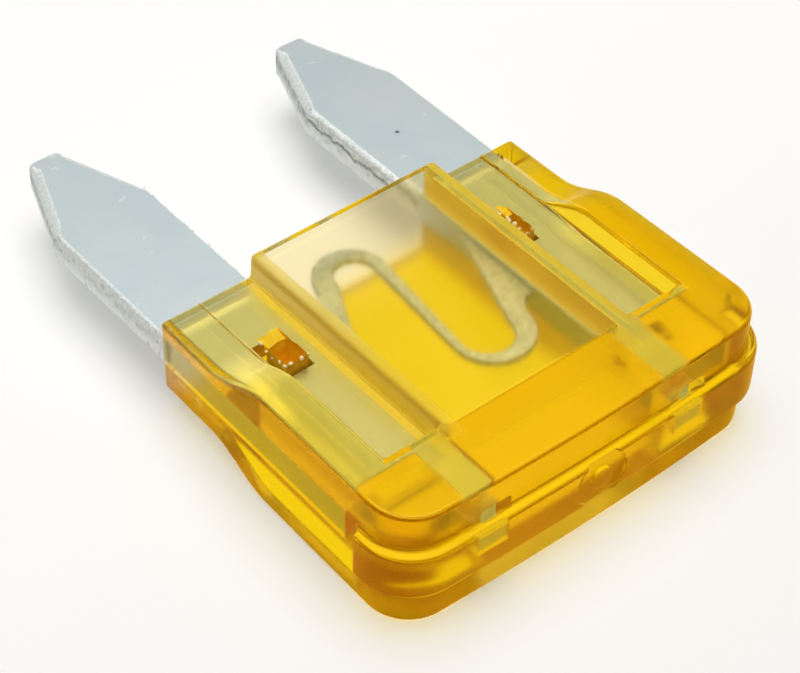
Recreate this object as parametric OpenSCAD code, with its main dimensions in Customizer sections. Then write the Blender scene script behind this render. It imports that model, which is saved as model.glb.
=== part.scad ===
// Miniature automotive blade fuse, 20 A amber: moulded housing and stamped link.
// It lies flat with the blades pointing along +Y. Millimetres.

/* [Blades] */
// Width of each blade
blade_w = 2.8; // [2.3:0.05:3.4]
// Thickness of the blades
blade_t = 0.8; // [0.6:0.05:1]
// Distance between the middles of the two blades
blade_pitch = 7.8; // [7:0.1:9.4]
// How far the blades stand out of the housing
blade_l = 7.35; // [5:0.05:9]
// Length of a blade's tapered end
taper_l = 2.65; // [1.5:0.05:4]
// Width of a blade's tip
tip_w = 1.0; // [0.6:0.05:1.6]
// Radius of the tip's corners
tip_r = 0.22; // [0.1:0.01:0.28]
// Width of the bevel coined along each tapered edge
coin_w = 0.2; // [0.1:0.01:0.25]
// Depth of that bevel
coin_d = 0.13; // [0.05:0.01:0.2]
// How much narrower the blade is inside the housing, on its outer edge
shoulder = 0.3; // [0.2:0.05:0.5]

/* [Housing] */
// Plastic outside the blades on each side of the mouth
mouth_side = 0.1; // [0.05:0.05:0.4]
// How much the head is wider than the mouth on each side
side_draft = 0.1; // [0.05:0.05:0.3]
// Length of the housing from the mouth to the middle of the head end
housing_l = 9.05; // [7.5:0.05:11]
// Full thickness of the window panel, the rails and the head
housing_t = 3.4; // [2.8:0.1:4.2]
// Length of the solid head block
head_l = 2.1; // [1.8:0.05:2.6]
// Radius of the head's corners seen from above
corner_r = 1.15; // [0.5:0.05:1.6]
// Radius of the mouth's corners seen from above
mouth_r = 0.12; // [0.05:0.01:0.2]
// How far the head end bows out at its middle
end_bow = 0.1; // [0.05:0.01:0.2]

/* [Window panel] */
// How far the panel reaches over each blade's inner edge
panel_lap = 0.3; // [0.2:0.05:0.6]
// Thickness of the panel's wall above and below the cavity
panel_wall = 0.45; // [0.35:0.05:0.6]
// How much wider the gap between the blades is than the cavity, on each side
cavity_inset = 0.2; // [0.1:0.05:0.4]

/* [Recesses and rails] */
// Depth of the recesses beside the panel
recess_d = 0.65; // [0.4:0.05:0.7]
// Draft of the recess walls, taken over their depth
recess_draft = 0.05; // [0.02:0.01:0.1]
// Width of each outer rail
rail_w = 1.0; // [0.6:0.05:1.2]
// Distance from the mouth at which the rails begin to rise
ramp_start = 1.9; // [1:0.1:2.2]
// Length over which the rails rise to the full thickness
ramp_l = 2.1; // [1:0.1:2.6]

/* [Grip ridge] */
// How far the ridge round the head stands out
ridge_out = 0.25; // [0.1:0.05:0.4]
// Height of the ridge, centred on the thickness
ridge_h = 1.3; // [1:0.05:1.8]
// How far the ridge runs along each side from the head end
ridge_l = 1.55; // [1.3:0.05:2]
// Radius of the shallow dish round the gate mark
gate_dish_r = 0.75; // [0.4:0.05:1]
// Depth of that dish
gate_dish_d = 0.1; // [0.05:0.01:0.2]
// Radius of the gate mark's stub
gate_r = 0.3; // [0.15:0.05:0.5]
// How far the stub stands up in the dish
gate_stub = 0.08; // [0.03:0.01:0.1]

/* [Test points] */
// Width of the test tab on the link
tab_w = 0.8; // [0.5:0.05:1]
// Distance of the tab from the blade's inner edge
tab_inset = 0.05; // [0:0.01:0.2]
// How far the tab ends inside the head end
tab_back = 0.45; // [0.3:0.05:0.8]
// How much wider the test window is than the tab, on each side
window_side = 0.1; // [0.05:0.01:0.2]

/* [Fuse element] */
// Thickness of the element, which is milled thinner than the blades
element_t = 0.2; // [0.15:0.01:0.3]
// How far the element lies above the middle of the blades' thickness
element_up = 0.15; // [0:0.01:0.2]
// Outer radius of the loop by the mouth
mouth_loop_r = 0.97; // [0.8:0.01:1.1]
// Outer radius of the loop by the head
head_loop_r = 1.08; // [0.8:0.01:1.2]
// Width of the strand where it leaves the loop by the mouth
strand_w = 0.32; // [0.2:0.01:0.4]
// Width of the strand where it reaches the loop by the head, where it melts
melt_w = 0.22; // [0.15:0.01:0.4]
// Width of each loop's other limb, where the web begins
limb_w = 0.56; // [0.4:0.01:0.7]
// Gap between the loop by the mouth and the left blade
mouth_gap = 0.98; // [0.7:0.01:1.3]
// Gap between the loop by the head and the right blade
head_gap = 0.53; // [0.3:0.01:0.8]
// Distance of the nearer loop's outer edge from the mouth
loop_in = 0.04; // [0.02:0.01:0.4]
// Distance of the farther loop's outer edge from the cavity's end
loop_clear = 1.37; // [0.3:0.01:2.4]
// How far each web starts beyond the middle of the loop that it serves
web_near = 0.35; // [0.1:0.05:0.5]
// How far each web ends before the middle of the other loop
web_far = 0.3; // [0:0.05:0.6]
// Width of the notch between the web's limb and the blade
web_notch = 0.25; // [0.05:0.01:0.28]

/* [Stakes] */
// Distance from the blade's inner edge to the middle of a stake
stake_in = 1.2; // [1:0.05:1.4]
// Distance from the mouth to the middle of a stake
stake_y = 2.5; // [2.2:0.05:3]
// Width of the hole in the link that the stake fills
stake_w = 1.0; // [0.8:0.05:1.2]
// Length of that hole
stake_l = 1.5; // [1.2:0.05:1.8]
// How much narrower the pressed pocket is than the hole, on each side
pocket_side = 0.175; // [0.1:0.005:0.25]
// How much shorter it is than the hole, at each end
pocket_end = 0.1; // [0.05:0.05:0.25]
// Length of the pocket's flat floor, at its deep end
pocket_floor = 0.43; // [0.2:0.01:0.6]
// How far the pocket bites into the thickness of the link
pocket_bite = 0.2; // [0:0.05:0.25]

/* [Fits] */
// Clearance between the link and the housing on every side
fit_gap = 0.04; // [0.02:0.01:0.06]
// Free length between the blades' ends and the head block
end_gap = 0.2; // [0.1:0.05:0.4]

/* [Hidden] */
amber = [0.93, 0.72, 0.08, 0.75];
zinc = [0.76, 0.79, 0.80];
$fn = 64;
eps = 0.01;
past = 1;                                      // how far a cutter runs out past the solid
mid_z = housing_t / 2;
end_y = -housing_l;                            // the head end at its middle
total_l = housing_l + ridge_out + blade_l;
mouth_y = housing_l + ridge_out - total_l / 2; // puts the bounding box's centre on the origin
recess_z = housing_t - recess_d;               // floor of the upper recesses
recess_l = housing_l - head_l;                 // the recesses and the cavity end at the head block
blade_in = recess_l - end_gap;                 // how far the blades reach into the housing
tab_reach = housing_l - tab_back;
blade_in_x = (blade_pitch - blade_w) / 2;      // inner edge of a blade
blade_out_x = (blade_pitch + blade_w) / 2;     // outer edge of a blade
slot_out_x = blade_out_x - shoulder;           // outer edge inside the housing
mouth_w = 2 * (blade_out_x + mouth_side);
head_w = mouth_w + 2 * side_draft;
panel_w = 2 * (blade_in_x + panel_lap);
cavity_w = 2 * (blade_in_x - cavity_inset);
tab_x = blade_in_x + tab_inset + tab_w / 2;    // middle of a test tab and its window
window_w = tab_w + 2 * window_side;
stake_x = blade_in_x + stake_in;
pocket_w = stake_w - 2 * pocket_side;
pocket_l = stake_l - 2 * pocket_end;
pocket_d = recess_z - mid_z - blade_t / 2 + pocket_bite;
element_z = mid_z + element_up;
mouth_loop = [-(blade_in_x - mouth_gap - mouth_loop_r), -(loop_in + mouth_loop_r)];
head_loop = [blade_in_x - head_gap - head_loop_r, -(recess_l - loop_clear - head_loop_r)];

// ---------- shared helpers ----------

// Puts what is drawn from the mouth plane into the part's own frame
module from_mouth() { translate([0, mouth_y, 0]) children(); }

// The same thing on both sides of the middle
module both_sides() {
    children();
    mirror([1, 0, 0]) children();
}

// The same thing on the front and the back face
module both_faces() {
    children();
    translate([0, 0, housing_t]) mirror([0, 0, 1]) children();
}

// A flat shape given between two heights
module slab(z0, z1) { translate([0, 0, z0]) linear_extrude(height = z1 - z0) children(); }

// ---------- housing ----------

// How far the head end lies from the mouth at a place across the width
function end_reach(x) = housing_l - end_bow * pow(x / (head_w / 2 - corner_r), 2);

// Half of the outline seen from above, grown by grow: mouth corner, side, head corner, bowed end
function half_outline(grow) = let(r = corner_r + grow, x0 = head_w / 2 - corner_r) concat(
    [for (a = [90:-30:0]) let(r = mouth_r)
        [mouth_w / 2 + grow - r * (1 - cos(a)), -r * (1 - sin(a))]],
    [for (a = [0:10:80]) [x0 + r * cos(a), -(end_reach(x0) - corner_r) - r * sin(a)]],
    [for (i = [0:7]) let(x = x0 * (1 - i / 8)) [x, -end_reach(x) - grow]]
);

// Outline seen from above, grown by grow on every side but the mouth
module housing_outline(grow = 0) {
    half = half_outline(grow);
    polygon(concat(
        half, [[0, end_y - grow]],
        [for (i = [len(half) - 1:-1:0]) [-half[i][0], half[i][1]]]
    ));
}

// Profile of a rail's rise seen from the side: (distance from the mouth, height above the recess)
function rise(t) = (1 - cos(180 * t)) / 2;
function ramp_points(h) = [for (i = [0:12]) [ramp_start + ramp_l * i / 12, h * rise(i / 12)]];

// What is taken off above the recesses: the recess itself with drafted walls, and the low ends
// of the rails
module face_cut() {
    x0 = panel_w / 2;
    x1 = mouth_w / 2 - rail_w;
    slope = recess_draft / recess_d;
    both_sides() {
        translate([0, past, 0]) rotate([90, 0, 0]) linear_extrude(height = past + recess_l)
            polygon([
                [x0 + recess_draft, recess_z], [x1 - recess_draft, recess_z],
                [x1 + slope * past, housing_t + past], [x0 - slope * past, housing_t + past]
            ]);
        translate([x0, 0, recess_z]) rotate([90, 0, 90])
            linear_extrude(height = head_w)
                mirror([1, 0, 0]) polygon(concat(
                    [[-past, recess_d + past], [-past, 0], [0, 0]], ramp_points(recess_d),
                    [[ramp_start + ramp_l, recess_d + past]]
                ));
    }
}

// Wedge pressed into a recess by the staking punch: shallow toward the mouth, deep toward the head
module stake_pocket() {
    above = recess_d / 2;
    translate([stake_x - pocket_w / 2, -stake_y, recess_z]) rotate([90, 0, 90])
        linear_extrude(height = pocket_w) polygon([
            [pocket_l / 2, above], [pocket_l / 2, 0], [pocket_floor - pocket_l / 2, -pocket_d],
            [-pocket_l / 2, -pocket_d], [-pocket_l / 2, above]
        ]);
}

// Room for the link: slots for the blades and tabs, and the open cavity round the element
module link_room() {
    slot_h = blade_t + 2 * fit_gap;
    translate([-slot_out_x - fit_gap, -blade_in - fit_gap, mid_z - slot_h / 2])
        cube([2 * (slot_out_x + fit_gap), blade_in + fit_gap + past, slot_h]);
    translate([-cavity_w / 2, -recess_l, panel_wall])
        cube([cavity_w, recess_l + past, housing_t - 2 * panel_wall]);
    both_sides() translate([tab_x - tab_w / 2 - fit_gap, -tab_reach - fit_gap, mid_z - slot_h / 2])
        cube([tab_w + 2 * fit_gap, tab_reach - blade_in + past, slot_h]);
    both_sides() translate([tab_x - window_w / 2, end_y - past, mid_z - ridge_h / 2])
        cube([window_w, past + housing_l - tab_reach - fit_gap, ridge_h]);
}

// Ridge round the middle of the head, for a fingernail or a puller
module grip_ridge() {
    slab(mid_z - ridge_h / 2, mid_z + ridge_h / 2) intersection() {
        housing_outline(ridge_out);
        translate([-head_w, end_y - head_l]) square([2 * head_w, head_l + ridge_l]);
    }
}

// The gate's shallow dish and the stub broken off in it
module gate_mark() {
    outer = end_y - ridge_out;
    difference() {
        children();
        translate([0, outer - past, mid_z]) rotate([-90, 0, 0])
            cylinder(h = past + gate_dish_d, r = gate_dish_r);
    }
    translate([0, outer + gate_dish_d - gate_stub, mid_z]) rotate([-90, 0, 0])
        cylinder(h = 2 * gate_stub, r = gate_r);
}

// Plastic pressed into the link's holes, a little taller than the slot so that it joins both walls
module stakes() {
    h = blade_t / 2 + 2 * fit_gap;
    both_sides() translate([
        stake_x - stake_w / 2 + fit_gap, -stake_y - stake_l / 2 + fit_gap, mid_z - h
    ]) cube([stake_w - 2 * fit_gap, stake_l - 2 * fit_gap, 2 * h]);
}

module housing() color(amber) from_mouth() {
    difference() {
        union() {
            difference() {
                gate_mark() union() {
                    slab(0, housing_t) housing_outline();
                    grip_ridge();
                }
                both_faces() face_cut();
                link_room();
            }
            stakes();
        }
        both_sides() both_faces() stake_pocket();
    }
}

// ---------- fuse link ----------

// One blade seen from above: tapered tip, full width outside, a shoulder, and the test tab
module blade_outline() {
    tip_y = blade_l - tip_r;
    xm = blade_pitch / 2;
    difference() {
        union() {
            polygon([
                [blade_in_x, fit_gap], [blade_out_x, fit_gap], [blade_out_x, blade_l - taper_l],
                [xm + tip_w / 2, tip_y], [xm + tip_w / 2 - tip_r, blade_l],
                [xm - tip_w / 2 + tip_r, blade_l], [xm - tip_w / 2, tip_y],
                [blade_in_x, blade_l - taper_l]
            ]);
            for (s = [-1, 1]) translate([xm + s * (tip_w / 2 - tip_r), tip_y]) circle(r = tip_r);
            translate([blade_in_x, -blade_in])
                square([slot_out_x - blade_in_x, blade_in + 2 * fit_gap]);
            translate([tab_x - tab_w / 2, -tab_reach]) square([tab_w, tab_reach - blade_in + past]);
        }
        translate([stake_x - stake_w / 2, -stake_y - stake_l / 2]) square([stake_w, stake_l]);
    }
}

// Wedge that coins the upper edge of one taper, laid along the line from the shoulder to the tip
module coin_wedge() {
    run = taper_l - tip_r;
    turn = atan((blade_w - tip_w) / 2 / run);
    run_in = past / 4;
    long = run / cos(turn) + past;
    translate([blade_out_x, blade_l - taper_l, mid_z + blade_t / 2]) rotate([0, 0, turn])
        translate([0, -run_in, 0]) rotate([-90, 0, 0]) linear_extrude(height = long)
            polygon([
                [-coin_w - eps, -eps], [eps, coin_d + eps * coin_d / coin_w],
                [past, coin_d], [past, -past], [-coin_w - eps, -past]
            ]);
}

// The coined edges of one blade: both tapers, on both faces
module coining() {
    both_faces() {
        coin_wedge();
        translate([blade_pitch, 0, 0]) mirror([1, 0, 0]) coin_wedge();
    }
}

// One loop with its web, opening toward +Y, with its middle on its own origin: the half turn is
// thin on the strand's side, at -X, and widens to the limb that the web carries over to the
// blade's edge
module loop_and_web(r, thin, edge, height) {
    hole_r = r - (thin + limb_w) / 2;
    intersection() {
        difference() {
            circle(r = r);
            translate([(thin - limb_w) / 2, 0]) circle(r = hole_r);
        }
        translate([-2 * r, -2 * r]) square([4 * r, 2 * r]);
    }
    polygon([
        [r - limb_w, 0], [r, 0], [edge - web_notch, web_near],
        [edge + eps, web_near], [edge + eps, web_near + height]
    ]);
}

// The S-shaped element seen from above: a loop and its web at each end of the strand
module element_outline() {
    height = mouth_loop[1] - head_loop[1] - web_near - web_far;
    translate(head_loop)
        loop_and_web(head_loop_r, melt_w, blade_in_x - head_loop[0], height);
    translate(mouth_loop) rotate(180)
        loop_and_web(mouth_loop_r, strand_w, blade_in_x + mouth_loop[0], height);
    // the strand between the two loops
    polygon([
        mouth_loop + [mouth_loop_r - strand_w, 0], mouth_loop + [mouth_loop_r, 0],
        head_loop - [head_loop_r - melt_w, 0], head_loop - [head_loop_r, 0]
    ]);
}

module fuse_link() color(zinc) from_mouth() {
    difference() {
        slab(mid_z - blade_t / 2, mid_z + blade_t / 2) both_sides() blade_outline();
        both_sides() coining();
    }
    slab(element_z - element_t / 2, element_z + element_t / 2) element_outline();
}

housing();
fuse_link();
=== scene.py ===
"""Miniature automotive blade fuse: an amber moulding staked onto a zinc stamping.

Meshes are drawn in millimetres from the mouth of the housing, the plane where the blades leave
it, with the blades along +Y and z = 0 on the table. They are placed in metres.
"""

import logging
import math
from contextlib import contextmanager
from dataclasses import dataclass, replace
from enum import Enum
from typing import Callable, Iterator, Sequence

import bmesh
import bpy
from mathutils import Matrix, Vector, noise


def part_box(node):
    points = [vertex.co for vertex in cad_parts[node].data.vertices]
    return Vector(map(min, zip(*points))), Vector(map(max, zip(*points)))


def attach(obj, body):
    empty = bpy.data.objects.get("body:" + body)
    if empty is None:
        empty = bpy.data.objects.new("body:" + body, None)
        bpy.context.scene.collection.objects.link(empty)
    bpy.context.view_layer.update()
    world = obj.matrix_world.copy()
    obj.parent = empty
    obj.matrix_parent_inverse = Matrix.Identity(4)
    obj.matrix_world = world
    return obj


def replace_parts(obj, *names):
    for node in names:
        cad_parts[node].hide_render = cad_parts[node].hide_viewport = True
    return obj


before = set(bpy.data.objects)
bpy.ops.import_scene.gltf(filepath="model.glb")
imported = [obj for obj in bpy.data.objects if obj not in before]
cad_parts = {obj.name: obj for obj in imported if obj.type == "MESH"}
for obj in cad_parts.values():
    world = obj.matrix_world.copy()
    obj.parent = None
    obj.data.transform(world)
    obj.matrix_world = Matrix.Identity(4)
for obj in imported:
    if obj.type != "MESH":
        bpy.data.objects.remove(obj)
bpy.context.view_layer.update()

MM = 0.001
MOUTH_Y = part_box("housing")[1].y / MM
TOP_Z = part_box("housing")[1].z / MM
MID_Z = TOP_Z / 2
log = logging.getLogger("fuse")

Point = tuple[float, float]
Triple = tuple[float, float, float]
Thing = bpy.types.Object
Finish = bpy.types.Material
Socket = bpy.types.NodeSocket


@dataclass(frozen=True)
class Fit:
    """What both pieces share: the strip, its test tabs, and its stake holes, left and right."""

    strip_t: float = 0.8
    tab_x: float = 2.95
    tab_w: float = 0.8
    stake_y: float = 2.35
    holes: tuple[Point, Point] = ((-4.15, -3.20), (3.20, 3.72))


FIT = Fit()


# ---- shader maths


@dataclass(frozen=True)
class Signal:
    """A shader socket that does arithmetic by adding Math nodes."""

    graph: "Graph"
    socket: Socket

    def _math(self, operation: str, *values: "Signal | float") -> "Signal":
        """Adds one Math node on the given values."""
        return self.graph.node("Math", *values, settings={"operation": operation})

    def __add__(self, other: "Signal | float") -> "Signal":
        """Sum."""
        return self._math("ADD", self, other)

    __radd__ = __add__

    def __mul__(self, other: "Signal | float") -> "Signal":
        """Product."""
        return self._math("MULTIPLY", self, other)

    def __rsub__(self, other: float) -> "Signal":
        """Difference."""
        return self._math("SUBTRACT", other, self)

    def __abs__(self) -> "Signal":
        """Size without its sign."""
        return self._math("ABSOLUTE", self)

    def larger(self, other: "Signal") -> "Signal":
        """The larger of two."""
        return self._math("MAXIMUM", self, other)

    def toward(self, other: float, share: "Signal") -> "Signal":
        """This value moved toward another by a share from 0 to 1."""
        return self + share * (other - self)

    def above(self, low: float, high: float, start: float = 0.0, end: float = 1.0) -> "Signal":
        """A smooth step from start at low to end at high."""
        return self.graph.node("MapRange", self, low, high, start, end,
                               settings={"interpolation_type": "SMOOTHSTEP"})

    def past(self, edge: float, soft: float) -> "Signal":
        """A smooth step from 0 to 1 over an edge that is soft on both sides."""
        return self.above(edge - soft, edge + soft)


@dataclass(frozen=True)
class Patches:
    """A noise with blobs of a size in millimetres, and the levels between which it shows."""

    size: float
    detail: float
    low: float = 0.0
    high: float = 1.0


class Graph:
    """A node tree, with one method that adds any node."""

    def __init__(self, tree: bpy.types.NodeTree) -> None:
        """Wraps a tree."""
        self.tree = tree

    def node(self, kind: str, *values: object, out: int | str = 0, settings: dict | None = None,
             **named: object) -> Signal:
        """Adds a node.

        Args:
            kind: the node's type, such as GeometryNodeSetPosition, or Math for ShaderNodeMath.
            values: numbers, vectors or signals for its sockets, in order.
            out: the output wanted, by number or name.
            settings: the node's own settings, set before its sockets.
            named: values for sockets by name, with underscores for spaces.

        Returns:
            The wanted output.
        """
        made = self.tree.nodes.new(kind if "Node" in kind else "ShaderNode" + kind)
        for key, value in (settings or {}).items():
            setattr(made, key, value)
        for socket, value in zip([s for s in made.inputs if s.enabled], values):
            self.feed(socket, value)
        for key, value in named.items():
            self.feed(made.inputs[key.replace("_", " ")], value)
        outputs = [s for s in made.outputs if s.enabled]
        return Signal(self, made.outputs[out] if isinstance(out, str) else outputs[out])

    def feed(self, socket: Socket, value: object) -> None:
        """Links a signal to a socket, or sets the socket to a plain value.

        Args:
            socket: the input.
            value: a signal, number, vector or colour.
        """
        if isinstance(value, Signal):
            self.tree.links.new(value.socket, socket)
        elif isinstance(value, tuple) and len(value) == 3 and socket.type == "RGBA":
            socket.default_value = (*value, 1.0)
        else:
            socket.default_value = value

    def axis(self, where: Signal, name: str) -> Signal:
        """One coordinate of a place: X, Y or Z."""
        return self.node("SeparateXYZ", where, out=name)


class Surface(Graph):
    """A material's node tree."""

    def __init__(self, name: str) -> None:
        """Starts a material of that name with its Principled shader and output.

        Args:
            name: what to call the material.
        """
        self.material = bpy.data.materials.new(name)
        self.material.use_nodes = True
        super().__init__(self.material.node_tree)
        self.principled = self.tree.nodes["Principled BSDF"]
        self.output = self.tree.nodes["Material Output"]

    def shade(self, **named: object) -> Signal:
        """Sets sockets of the Principled shader by name and gives the shader's output.

        Args:
            named: values for sockets by name, with underscores for spaces.

        Returns:
            The shader's output.
        """
        for key, value in named.items():
            self.feed(self.principled.inputs[key.replace("_", " ")], value)
        return Signal(self, self.principled.outputs[0])

    def place(self, scale: Triple = (1, 1, 1)) -> Signal:
        """Object coordinates in millimetres, stretched by scale."""
        here = self.node("TexCoord", out="Object")
        return self.node("Mapping", here, Scale=[s / MM for s in scale])

    def cloud(self, where: Signal, kind: Patches) -> Signal:
        """The noise of some patches, from 0 to 1."""
        return self.node("TexNoise", where, Scale=1 / kind.size, Detail=kind.detail)

    def patches(self, where: Signal, kind: Patches) -> Signal:
        """Where some patches show, from 0 to 1."""
        return self.cloud(where, kind).above(kind.low, kind.high)

    def ray(self, kind: str) -> Signal:
        """Whether the ray is of one kind, such as Camera."""
        return self.node("LightPath", out=f"Is {kind} Ray")

    def blend(self, factor: Signal, a: object, b: object) -> Signal:
        """A colour from a to b by factor."""
        return self.node("Mix", factor, a, b, settings={"data_type": "RGBA"})

    def bump(self, height: Signal, distance: float) -> Signal:
        """A normal bent by a height signal; distance is in millimetres."""
        return self.node("Bump", Distance=distance * MM, Height=height)


# ---- finishes


@dataclass(frozen=True)
class AmberPlastic:
    """Clear amber moulding compound that soaks up blue, and some green, over its depth.

    The panel, the outer sides and the head are hazier than the rest, and the walls of the cavity
    are milky. Places are in millimetres in the shared frame.
    """

    body: Triple = (1.0, 0.92, 0.86)
    lost_per_mm: Triple = (0.026, 0.112, 0.95)
    lamp_through: float = 0.82
    ior: float = 1.50
    specular: float = 0.40
    gloss: Triple = (1.0, 0.72, 0.16)
    roughness: float = 0.06
    panel_roughness: float = 0.15
    panel_half: float = 2.75
    panel_soft: float = 0.1
    side_roughness: float = 0.20
    side_x: float = 5.0
    side_soft: float = 0.2
    head_roughness: float = 0.24
    head_fade: Point = (-6.8, -5.2)
    wall_roughness: float = 0.55
    wall_band: Point = (2.52, 2.90)
    wall_soft: Point = (0.03, 0.04)
    wall_milk: float = 0.45
    milk: Triple = (0.62, 0.50, 0.045)
    flow: Patches = Patches(1.1, 1.0)
    flow_stretch: Triple = (0.7, 0.35, 0.7)
    grain: Patches = Patches(0.25, 2.0)
    grain_share: float = 0.08
    wave: float = 0.004

    def material(self) -> Finish:
        """Builds the material.

        Returns:
            The material.
        """
        g = Surface("amber_plastic")
        where = g.place()
        flow = g.cloud(g.place(self.flow_stretch), self.flow)
        along, across = g.axis(where, "Y"), abs(g.axis(where, "X"))
        head = 1 - along.above(*self.head_fade)
        panel = 1 - across.past(self.panel_half, self.panel_soft)
        side = across.past(self.side_x, self.side_soft)
        (low, high), (low_soft, high_soft) = self.wall_band, self.wall_soft
        wall = across.past(low, low_soft) * (1 - across.past(high, high_soft))
        haze = panel * (self.panel_roughness - self.roughness) + self.roughness
        haze = haze.toward(self.wall_roughness, wall).toward(self.side_roughness, side)
        clear = g.shade(
            Base_Color=self.body, Transmission_Weight=1.0, IOR=self.ior,
            Specular_IOR_Level=self.specular, Specular_Tint=self.gloss,
            Roughness=haze.toward(self.head_roughness, head),
            Normal=g.bump(flow + g.cloud(where, self.grain) * self.grain_share, self.wave))
        milk = g.node("AddShader", g.node("BsdfDiffuse", self.milk),
                      g.node("BsdfTranslucent", self.milk))
        solid = g.node("MixShader", wall * (1 - head) * self.wall_milk, clear, milk)
        shadow = g.node("BsdfTransparent", (self.lamp_through,) * 3)
        g.feed(g.output.inputs["Surface"],
               g.node("MixShader", g.ray("Shadow"), solid, shadow))
        most = max(self.lost_per_mm)
        g.feed(g.output.inputs["Volume"],
               g.node("VolumeAbsorption",
                      tuple(1 - lost / most for lost in self.lost_per_mm), most / MM))
        return g.material


@dataclass(frozen=True)
class PunchedPlastic:
    """The same compound where the hot staking punch has clouded its surface; on the burr crumbs
    its pale colour is a painted glint.
    """

    name: str
    colour: Triple
    pale: Triple
    clouds: Patches
    roughness: float
    specular: float = 0.5
    wave: float = 0.0
    unevenness: float = 0.1

    def material(self) -> Finish:
        """Builds the material.

        Returns:
            The material.
        """
        g = Surface(self.name)
        cloud = g.cloud(g.place(), self.clouds)
        pale = cloud.above(self.clouds.low, self.clouds.high)
        g.shade(Base_Color=g.blend(pale, self.colour, self.pale),
                Roughness=cloud * self.unevenness + self.roughness,
                Specular_IOR_Level=self.specular)
        if self.wave:
            g.shade(Normal=g.bump(cloud, self.wave))
        return g.material


# The burr crumbs' finish: pale opaque beads whose colour is a painted glint.
BURR_GLINTS = PunchedPlastic("torn_plastic", colour=(0.95, 0.78, 0.26), pale=(1.0, 0.96, 0.66),
                      clouds=Patches(0.08, 2.0, 0.42, 0.56), roughness=0.22, wave=0.01)
PRESSED = PunchedPlastic("pressed_plastic", colour=(0.92, 0.55, 0.008), pale=(0.95, 0.66, 0.015),
                         clouds=Patches(0.3, 2.0, 0.40, 0.62), roughness=0.5, specular=0.15)


class Wear(Enum):
    """How a surface of the stamping was made."""

    ROLLED = "rolled"
    COINED = "coined"
    SHEARED = "sheared"
    MILLED = "milled"


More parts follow.
